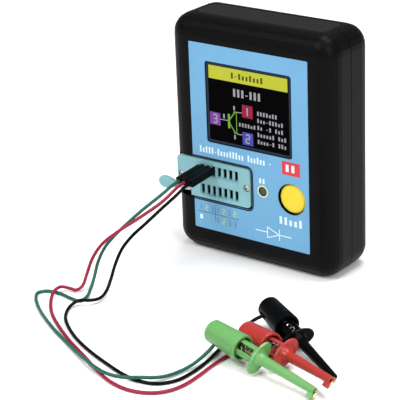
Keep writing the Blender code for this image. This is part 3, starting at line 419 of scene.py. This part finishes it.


# ---------------------------------------------------------------- printed label, and the painted shade round the socket's opening
def label_inks():
    """The printed marks on the face, in millimetres."""
    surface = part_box("front_label")[0].y
    white = finish("white_ink", tone("D3E6F5"), 0.5, grain=0.0003, relief=0.05, drift=0.03)
    red = finish("red_ink", tone("CF2437"), 0.45, grain=0.0003, relief=0.05, drift=0.03)
    dark = finish("dark_ink", tone("35506F"), 0.5, grain=0.0003, relief=0.05)
    violet = finish("violet_ink", tone("6B5C9B"), 0.5, grain=0.0003, relief=0.05)
    lime = finish("lime_ink", tone("B9D84F"), 0.5, grain=0.0003, relief=0.05)
    slate = finish("slate_ink", tone("4A7BA6"), 0.5, grain=0.0003, relief=0.05)
    cream = finish("cream_ink", tone("E3E3A0"), 0.45, grain=0.0003, relief=0.05)

    whites = letter_blocks(-21.8, 39.8, 1.33, 2.5, "|o|||-|ooo|||oo |oo|oo -")
    whites += letter_blocks(4.3, 32.7, 1.5, 1.9, "||")
    whites += letter_blocks(12.8, 19.0, 2.1, 2.9, "||oo|")
    whites.append(rectangle(-22.9, 13.3, -21.6, 15.1))
    lay_ink_and_painted_shade("label_white_ink", whites, surface, white)
    lay_ink_and_painted_shade("label_red_ink", [rectangle(14.3, 38.2, 21.9, 43.2)], surface, red)
    lay_ink_and_painted_shade("label_box_ink", letter_blocks(15.9, 39.4, 2.4, 2.7, "||"), surface - INK_DEPTH, white)
    symbol = [bar((2.2, 14.4), (7.4, 14.4), 0.35), bar((12.6, 14.4), (17.8, 14.4), 0.35)]
    symbol += [bar((7.4, 12.2), (7.4, 16.6), 0.35), bar((12.6, 12.2), (12.6, 16.6), 0.35)]
    symbol += [bar((7.4, 16.5), (12.5, 14.4), 0.35), bar((7.4, 12.3), (12.5, 14.4), 0.35)]
    lay_ink_and_painted_shade("label_diode_symbol", symbol, surface - INK_DEPTH, white)
    rules = [rectangle(-23.9, 16.25, -5.2, 16.45), rectangle(-15.9, 13.4, -15.7, 19.7)]
    lay_ink_and_painted_shade("label_dark_ink", rules, surface, dark)

    columns = [-22.2 + 2.53 * k for k in range(7)]
    rows = ((17.2, "1231232"), (13.2, "   1233"))
    for digit, look, name in (("1", violet, "violet"), ("2", lime, "lime"), ("3", slate, "slate")):
        outlines = []
        for z, digits in rows:
            for x, shown in zip(columns, digits):
                if shown == digit:
                    outlines += digit_outlines(digit, x, z, 1.9, 0.32)
        lay_ink_and_painted_shade("label_%s_ink" % name, outlines, surface, look)
    low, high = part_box("ir_window")
    centre = ((low.x + high.x) * 500, (low.z + high.z) * 500)
    lay_ink_and_painted_shade("label_ring_ink", ring_outlines(centre, 1.85, 2.25), surface, cream)


# right, top and bottom edge and corner radius of the socket's opening, and where its dark line
# starts on the left, in millimetres
OPENING_RIGHT, OPENING_TOP, OPENING_BOTTOM, OPENING_RADIUS = 1.1, 37.6, 21.3, 2.1
LABEL_LEFT = -25.1
CORNER_STEPS = 8


def opening_edge(offset):
    """Points along the socket opening's edge, moved outward, from the label's left side and back to it."""
    reach = OPENING_RADIUS + offset
    centre_x = OPENING_RIGHT - OPENING_RADIUS
    points = [(LABEL_LEFT, OPENING_TOP + offset)]
    for centre_z, first in ((OPENING_TOP - OPENING_RADIUS, 90), (OPENING_BOTTOM + OPENING_RADIUS, 0)):
        for k in range(CORNER_STEPS + 1):
            angle = math.radians(first - 90 * k / CORNER_STEPS)
            points.append((centre_x + reach * math.cos(angle), centre_z + reach * math.sin(angle)))
    return points + [(LABEL_LEFT, OPENING_BOTTOM - offset)]


def opening_shade_line():
    """A dark line of painted shade round the socket's opening, for the shade in the gap round the socket.
    """
    inner, outer = opening_edge(0.05), opening_edge(0.55)
    strips = [[inner[k], outer[k], outer[k + 1], inner[k + 1]] for k in range(len(inner) - 1)]
    # painted shade: a dark line round the opening, where the gap round the socket lies in shade
    gap_shade_paint = finish("opening_painted_shade", tone("16202E"), 0.5, grain=0.0003, relief=0.05, specular=0.1)
    lay_ink_and_painted_shade("label_outline_ink", strips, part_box("front_label")[0].y, gap_shade_paint)


# ---------------------------------------------------------------- small details
# the cover's slots: first centre, spacing, number in a row, rows, and half their size
SLOT_FIRST_X, SLOT_SPACING, SLOT_COUNT = -0.0211, 0.00254, 7
SLOT_ROWS_Z = (0.0255, 0.0331)
SLOT_HALF = (0.00075, 0.0018)


def slot_shade_strips():
    """Dark strips of painted shade on the left wall of each slot, which stand for the shade inside the
    slot.
    """
    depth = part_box("socket_cover")[0].y + 0.0010
    # painted shade: near-black strips where the inside of each slot lies in shade
    dark = finish("slot_painted_shade", (0.004, 0.006, 0.007), 0.5, grain=0.0002, relief=0.2, specular=0.1)
    shape = bmesh.new()
    for z in SLOT_ROWS_Z:
        for k in range(SLOT_COUNT):
            wall = SLOT_FIRST_X + k * SLOT_SPACING - SLOT_HALF[0]
            half = SLOT_HALF[1] - 0.0001
            strip = rectangle(wall - 0.00002, z - half, wall + 0.00003, z + half)
            add_prism(shape, strip, depth, depth + 0.0014)
    add_piece("slot_shade_strips", shape, dark, "socket_cover")


def cross_outline(x, z, reach, half):
    """The twelve corners of a cross recess, centred on x and z."""
    corners = (
        (-half, -reach), (half, -reach), (half, -half), (reach, -half), (reach, half), (half, half),
        (half, reach), (-half, reach), (-half, half), (-reach, half), (-reach, -half), (-half, -half),
    )
    return [(x + u, z + v) for u, v in corners]


def screw_crosses():
    # painted shade: a thin dark cross on each screw head stands for the shade in its cross recess
    shade = finish("painted_cross_shade", (0.012, 0.012, 0.012), 0.7, grain=0.0002, relief=0.2)
    heads = [("socket_screw_left", "socket_cover"), ("socket_screw_right", "socket_cover")]
    heads += [("case_screw_%s_%s" % (v, h), "case") for v in ("lower", "upper") for h in ("left", "right")]
    for node, body in heads:
        low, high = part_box(node)
        reach = (high.x - low.x) * 0.27
        surface = low.y if body == "socket_cover" else high.y
        inward = 0.0003 if body == "socket_cover" else -0.0003
        shape = bmesh.new()
        outline = cross_outline((low.x + high.x) / 2, (low.z + high.z) / 2, reach, reach * 0.26)
        add_prism(shape, outline, surface - inward * 0.1, surface + inward)
        add_piece(node + "_recess", shape, shade, body)


def usb_tongue():
    low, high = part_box("usb_socket")
    middle_y = (low.y + high.y) / 2
    middle_z = (low.z + high.z) / 2
    start, end, half, chamfer = low.x + 0.0008, low.x + 0.0042, 0.0024, 0.0004
    outline = (
        (start + chamfer, middle_z - half), (end, middle_z - half), (end, middle_z + half),
        (start + chamfer, middle_z + half), (start, middle_z + half - chamfer),
        (start, middle_z - half + chamfer),
    )
    shape = bmesh.new()
    add_prism(shape, outline, middle_y - 0.00035, middle_y + 0.00035)
    add_piece("usb_tongue", shape, FINISHES["black_epoxy"], "case")
    contacts = bmesh.new()
    for k in range(4):
        z = middle_z - 0.0015 + k * 0.001
        strip = rectangle(start + 0.0005, z - 0.0002, end - 0.0004, z + 0.0002)
        add_prism(contacts, strip, middle_y - 0.00040, middle_y - 0.0003)
    add_piece("usb_contacts", contacts, FINISHES["gold_plate"], "case")


# ---------------------------------------------------------------- display picture
def display_picture():
    """The lit picture behind the window, with plain blocks for its text, in millimetres."""
    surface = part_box("display_window")[0].y
    lit = {
        "lime": glowing("lime_pixels", tone("CDD23C")),
        "white": glowing("white_pixels", tone("B8B8C2"), 0.6),
        "green": glowing("green_pixels", tone("78B446")),
        "crimson": glowing("crimson_pixels", tone("A32144")),
        "blue": glowing("blue_pixels", tone("4A50B8")),
        "violet": glowing("violet_pixels", tone("8547AC")),
        "olive": glowing("olive_pixels", tone("5A611F"), 0.6),
        "border": finish("display_border", tone("1A2838"), 0.35, grain=0.0003, relief=0.1, specular=0.1),
    }

    def show(name, outlines, colour, level=0):
        lay_ink_and_painted_shade("display_" + name, outlines, surface - level * INK_DEPTH, lit[colour])

    left, low, right, high = -18.05, 44.55, 18.35, 74.45
    edge = 0.85
    border_bars = [
        rectangle(left, low, right, low + edge), rectangle(left, high - edge, right, high),
        rectangle(left, low + edge, left + edge, high - edge),
        rectangle(right - edge, low + edge, right, high - edge),
    ]
    show("border", border_bars, "border")
    show("title_bar", [rectangle(-16.9, 68.6, 17.0, 73.5)], "lime")
    show("title_blocks", letter_blocks(-7.0, 69.9, 1.58, 2.2, "|-|oo|oo|"), "olive", 1)
    blocks = letter_blocks(-6.3, 63.3, 1.78, 2.9, "|||-|||")
    blocks += letter_blocks(-6.4, 58.2, 1.3, 1.6, "|") + letter_blocks(-6.4, 47.3, 1.3, 1.6, "|")
    blocks += letter_blocks(-11.0, 54.4, 1.3, 1.6, "|")
    for row, rhythm in enumerate(("||||o||", "|oo-|||o|", "|o -| |o|", "|oooo| |o|", "|ooo-| ||o")):
        blocks += letter_blocks(3.9, 57.9 - row * 2.62, 1.27, 1.55, rhythm)
    blocks += letter_blocks(-4.1, 52.5, 1.27, 1.4, "||||o|")
    blocks += [bar((-12.4, 53.75), (-9.0, 53.85), 0.28)]
    blocks += [bar((-4.9, 57.6), (-2.6, 57.75), 0.28), bar((-4.9, 49.4), (-2.7, 49.5), 0.28)]
    show("white_blocks", blocks, "white")
    symbol = [bar((-8.5, 51.0), (-8.5, 56.4), 0.95), bar((-8.1, 54.4), (-5.8, 57.5), 0.4)]
    symbol += [bar((-8.1, 52.9), (-5.8, 49.6), 0.4), bar((-5.2, 49.6), (-5.2, 57.5), 0.3)]
    symbol += [bar((-6.4, 57.5), (-4.9, 57.5), 0.5), bar((-6.4, 49.7), (-4.9, 49.7), 0.5)]
    show("green_symbol", symbol, "green")
    squares = (("1", "crimson", -2.65, 56.2), ("2", "blue", -2.7, 46.0), ("3", "violet", -16.9, 51.3))
    for digit, colour, x, z in squares:
        show("square_" + digit, [rectangle(x, z, x + 4.6, z + 4.7)], colour)
        show("digit_" + digit, digit_outlines(digit, x + 2.3, z + 0.85, 3.0, 0.55), "white", 1)


# ---------------------------------------------------------------- stage
def make_camera():
    az, el = CAMERA_AZIMUTH, CAMERA_ELEVATION
    back = Vector((math.sin(az) * math.cos(el), -math.cos(az) * math.cos(el), math.sin(el)))
    right = Vector((0, 0, 1)).cross(back).normalized()
    up = back.cross(right)
    turn = Matrix((right, up, back)).transposed() @ Matrix.Rotation(CAMERA_ROLL, 3, "Z")
    data = bpy.data.cameras.new("camera")
    data.lens = CAMERA_LENS
    data.sensor_width = CAMERA_SENSOR
    camera = bpy.data.objects.new("camera", data)
    camera.matrix_world = Matrix.Translation(CAMERA_PLACE) @ turn.to_4x4()
    bpy.context.collection.objects.link(camera)
    bpy.context.scene.camera = camera


def make_light(name, place, size, power):
    data = bpy.data.lights.new(name, "AREA")
    data.shape = "RECTANGLE"
    data.size, data.size_y = size
    data.energy = power
    light = bpy.data.objects.new(name, data)
    light.location = place
    light.rotation_euler = (Vector(LIGHT_TARGET) - Vector(place)).to_track_quat("-Z", "Y").to_euler()
    bpy.context.collection.objects.link(light)


def make_stage():
    shape = bmesh.new()
    bmesh.ops.create_grid(shape, x_segments=1, y_segments=1, size=2.5)
    mesh = bpy.data.meshes.new("floor")
    shape.to_mesh(mesh)
    shape.free()
    paper = finish(
        "floor_paper", (0.97, 0.97, 0.97), 0.9, grain=0.002, relief=0.01, drift=0.01, specular=0.0)
    mesh.materials.append(paper)
    floor = bpy.data.objects.new("floor", mesh)
    bpy.context.collection.objects.link(floor)
    world = bpy.data.worlds.new("studio")
    world.use_nodes = True
    backdrop = world.node_tree.nodes["Background"]
    backdrop.inputs["Color"].default_value = (1.0, 1.0, 1.0, 1)
    backdrop.inputs["Strength"].default_value = BACKDROP_STRENGTH
    bpy.context.scene.world = world
    bpy.context.scene.view_settings.view_transform = "Standard"
    for name, (place, size, power) in LIGHTS.items():
        make_light(name, place, size, power)


make_camera()
for wire_colour in WIRE_ROUTES:
    make_wire(wire_colour)
dress_cad_nodes()
label_inks()
opening_shade_line()
slot_shade_strips()
screw_crosses()
usb_tongue()
display_picture()
make_stage()
